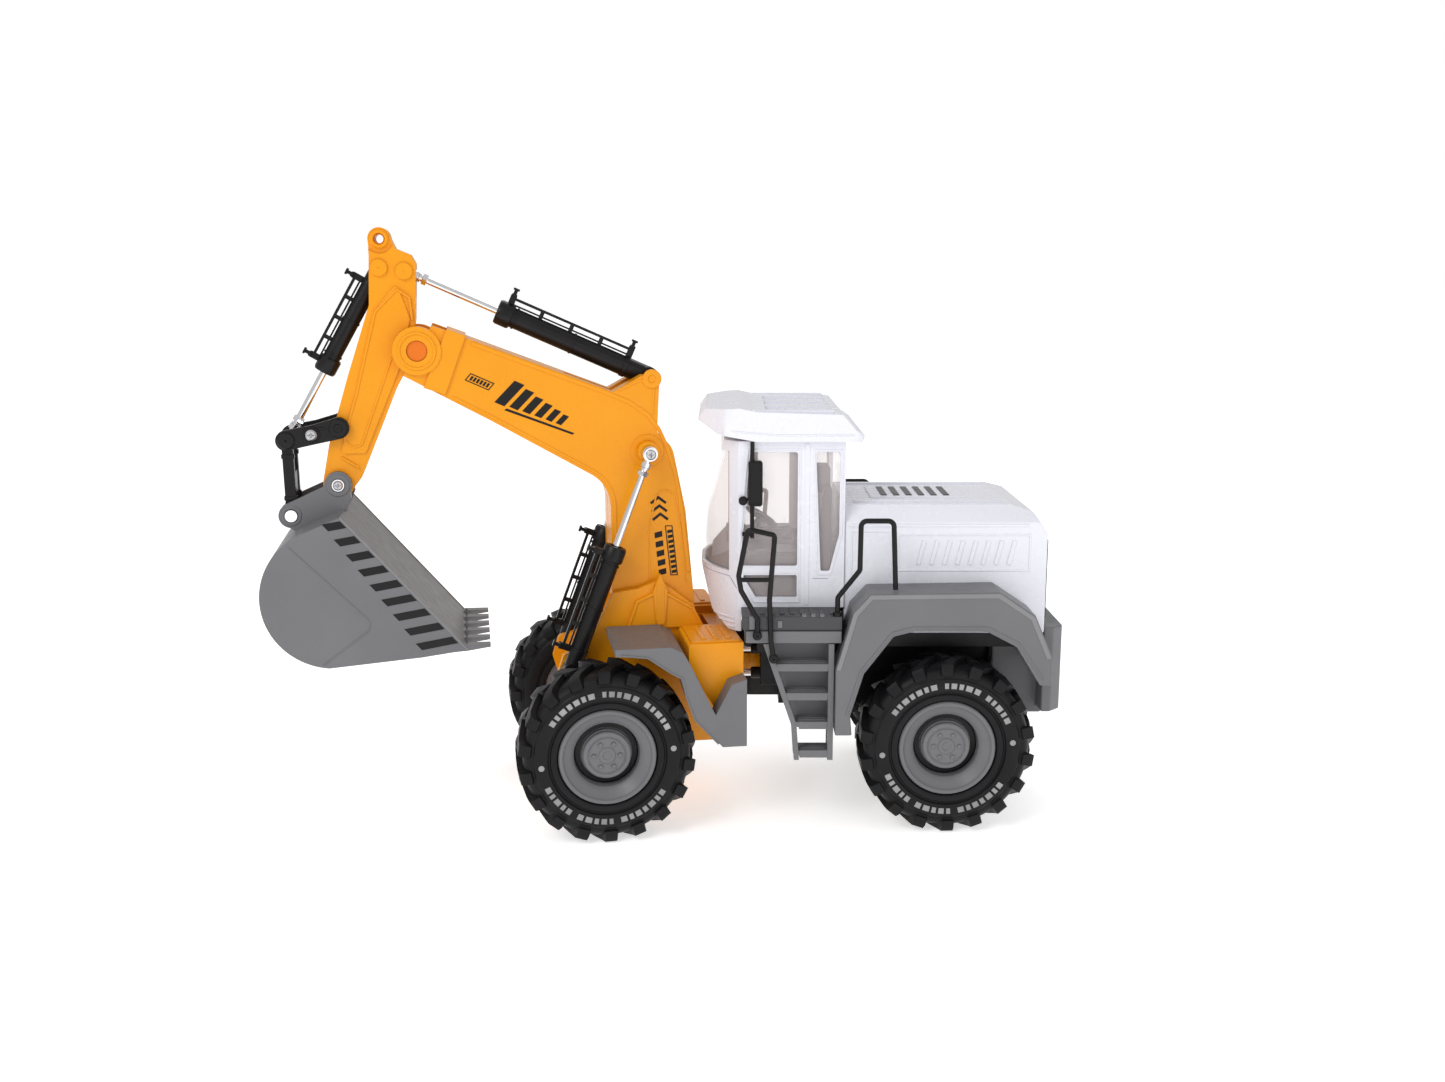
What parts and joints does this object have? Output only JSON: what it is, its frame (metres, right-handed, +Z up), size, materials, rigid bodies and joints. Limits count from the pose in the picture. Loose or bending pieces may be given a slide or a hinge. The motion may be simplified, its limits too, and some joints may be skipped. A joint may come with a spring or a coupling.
{
  "type": "toy backhoe loader",
  "caption": "Toy articulated construction vehicle with a cab, lifting boom, stick, toothed bucket and rolling wheels.",
  "frame": {"origin": "middle of the whole toy's box, on the ground it stands on", "axes": "-X forwards along the rear frame, -Y the machine's left side, +Z up; the front frame is stored steered 10 degrees"},
  "size_m": [0.4173, 0.1674, 0.3038],
  "materials": {
    "yellow_plastic": "moulded, slightly glossy",
    "orange_plastic": "moulded, slightly glossy",
    "grey_plastic": "satin moulded",
    "dark_grey_plastic": "satin moulded",
    "white_plastic": "glossy moulded",
    "clear_plastic": "clear moulded",
    "black_plastic": "satin moulded",
    "tyre_rubber": "soft black with pale raised marks",
    "chrome_metal": "bright plated",
    "steel": "bright drawn wire"
  },
  "bodies": {
    "rear_chassis": {"rear_chassis": "black_plastic", "articulation_pin": "steel", "deck": "dark_grey_plastic", "cab_shell": "white_plastic", "cab_glazing": "clear_plastic", "cab_roof": "white_plastic", "dashboard": "black_plastic", "steering_wheel": "black_plastic", "driver_seat": "black_plastic", "hood": "white_plastic", "radiator_grille": "black_plastic", "counterweight": "grey_plastic", "ladder_left": "grey_plastic", "ladder_right": "grey_plastic", "rear_fender_left": "grey_plastic", "rear_fender_right": "grey_plastic", "front_handrail_left": "black_plastic", "front_handrail_right": "black_plastic", "rear_handrail_left": "black_plastic", "rear_handrail_right": "black_plastic", "side_mirror_left": "black_plastic", "side_mirror_right": "black_plastic"},
    "rear_wheels": {"rear_axle": "steel", "rear_left_tyre": "tyre_rubber", "rear_right_tyre": "tyre_rubber", "rear_left_rim": "grey_plastic", "rear_right_rim": "grey_plastic", "rear_hub_caps": "grey_plastic"},
    "front_frame": {"front_frame_left": "yellow_plastic", "front_frame_right": "yellow_plastic", "front_fender_left": "grey_plastic", "front_fender_right": "grey_plastic", "boom_foot_pin": "steel"},
    "front_wheels": {"front_axle": "steel", "front_left_tyre": "tyre_rubber", "front_right_tyre": "tyre_rubber", "front_left_rim": "grey_plastic", "front_right_rim": "grey_plastic", "front_hub_caps": "grey_plastic"},
    "boom": {"boom_left_half": "yellow_plastic", "boom_right_half": "yellow_plastic", "stick_pivot_pin": "orange_plastic", "boom_pins": "chrome_metal"},
    "stick": {"stick_left_half": "yellow_plastic", "stick_right_half": "yellow_plastic", "stick_pins": "chrome_metal"},
    "bucket": {"bucket": "grey_plastic", "bucket_pins": "chrome_metal"},
    "rocker": {"rocker_left_plate": "black_plastic", "rocker_right_plate": "black_plastic", "rocker_pins": "chrome_metal"},
    "bucket_link": {"bucket_link": "black_plastic"},
    "lift_barrels": {"lift_barrel_left": "black_plastic", "lift_barrel_right": "black_plastic"},
    "lift_rods": {"lift_rod_left": "chrome_metal", "lift_rod_right": "chrome_metal"},
    "stick_barrel": {"stick_barrel": "black_plastic"},
    "stick_rod": {"stick_rod": "chrome_metal"},
    "bucket_barrel": {"bucket_barrel": "black_plastic"},
    "bucket_rod": {"bucket_rod": "chrome_metal"}
  },
  "joints": [
    {"name": "rear_wheels_roll", "type": "hinge", "parent": "rear_chassis", "child": "rear_wheels", "pos_m": [0.14545, 0.01071, 0.045], "axis": [0, 1, 0], "continuous": true},
    {"name": "steer", "type": "hinge", "parent": "rear_chassis", "child": "front_frame", "pos_m": [0.04755, 0.01071, 0.072], "axis": [0, 0, 1], "range_deg": [-25, 5]},
    {"name": "front_wheels_roll", "type": "hinge", "parent": "front_frame", "child": "front_wheels", "pos_m": [-0.03793, -0.00436, 0.045], "axis": [-0.1736, 0.9848, 0], "continuous": true},
    {"name": "boom_lift", "type": "hinge", "parent": "front_frame", "child": "boom", "pos_m": [-0.00366, 0.00168, 0.096], "axis": [-0.1736, 0.9848, 0], "range_deg": [-28, 6]},
    {"name": "stick_swing", "type": "hinge", "parent": "boom", "child": "stick", "pos_m": [-0.12341, -0.01943, 0.2435], "axis": [-0.1736, 0.9848, 0], "range_deg": [-8, 30]},
    {"name": "bucket_curl", "type": "hinge", "parent": "stick", "child": "bucket", "pos_m": [-0.16428, -0.02664, 0.1767], "axis": [-0.1736, 0.9848, 0], "range_deg": [-12, 40]},
    {"name": "rocker_pivot", "type": "hinge", "parent": "stick", "child": "rocker", "pos_m": [-0.1629, -0.0264, 0.2054], "axis": [-0.1736, 0.9848, 0], "range_deg": [-12.48, 40.32]},
    {"name": "link_pivot", "type": "hinge", "parent": "rocker", "child": "bucket_link", "pos_m": [-0.18811, -0.03084, 0.1996], "axis": [-0.1736, 0.9848, 0], "range_deg": [-30.55, 9.46]},
    {"name": "lift_barrel_pivot", "type": "hinge", "parent": "front_frame", "child": "lift_barrels", "pos_m": [-0.05192, -0.00683, 0.078], "axis": [-0.1736, 0.9848, 0], "range_deg": [-21.55, 4.95]},
    {"name": "lift_rod_pivot", "type": "hinge", "parent": "boom", "child": "lift_rods", "pos_m": [-0.01026, 0.00052, 0.1908], "axis": [-0.1736, 0.9848, 0], "range_deg": [-1.65, 7.05]},
    {"name": "stick_barrel_pivot", "type": "hinge", "parent": "boom", "child": "stick_barrel", "pos_m": [-0.0076, 0.00099, 0.228], "axis": [-0.1736, 0.9848, 0], "range_deg": [-0.97, 3.37]},
    {"name": "stick_rod_pivot", "type": "hinge", "parent": "stick", "child": "stick_rod", "pos_m": [-0.12824, -0.02028, 0.2825], "axis": [-0.1736, 0.9848, 0], "range_deg": [-27.23, 7.62]},
    {"name": "bucket_barrel_pivot", "type": "hinge", "parent": "stick", "child": "bucket_barrel", "pos_m": [-0.14025, -0.0224, 0.2842], "axis": [-0.1736, 0.9848, 0], "range_deg": [-1.78, 5.65]},
    {"name": "bucket_rod_pivot", "type": "hinge", "parent": "rocker", "child": "bucket_rod", "pos_m": [-0.18811, -0.03084, 0.1996], "axis": [-0.1736, 0.9848, 0], "range_deg": [-34.72, 10.75]}
  ],
  "couplings": [
    {"joint": "rocker_pivot", "follows": "bucket_curl", "ratio": 0.99421},
    {"joint": "link_pivot", "follows": "bucket_curl", "ratio": -0.75318},
    {"joint": "bucket_barrel_pivot", "follows": "bucket_curl", "ratio": 0.13817},
    {"joint": "bucket_rod_pivot", "follows": "bucket_curl", "ratio": -0.85604},
    {"joint": "lift_barrel_pivot", "follows": "boom_lift", "ratio": 0.7543},
    {"joint": "lift_rod_pivot", "follows": "boom_lift", "ratio": -0.2457},
    {"joint": "stick_barrel_pivot", "follows": "stick_swing", "ratio": 0.10877},
    {"joint": "stick_rod_pivot", "follows": "stick_swing", "ratio": -0.89123}
  ]
}
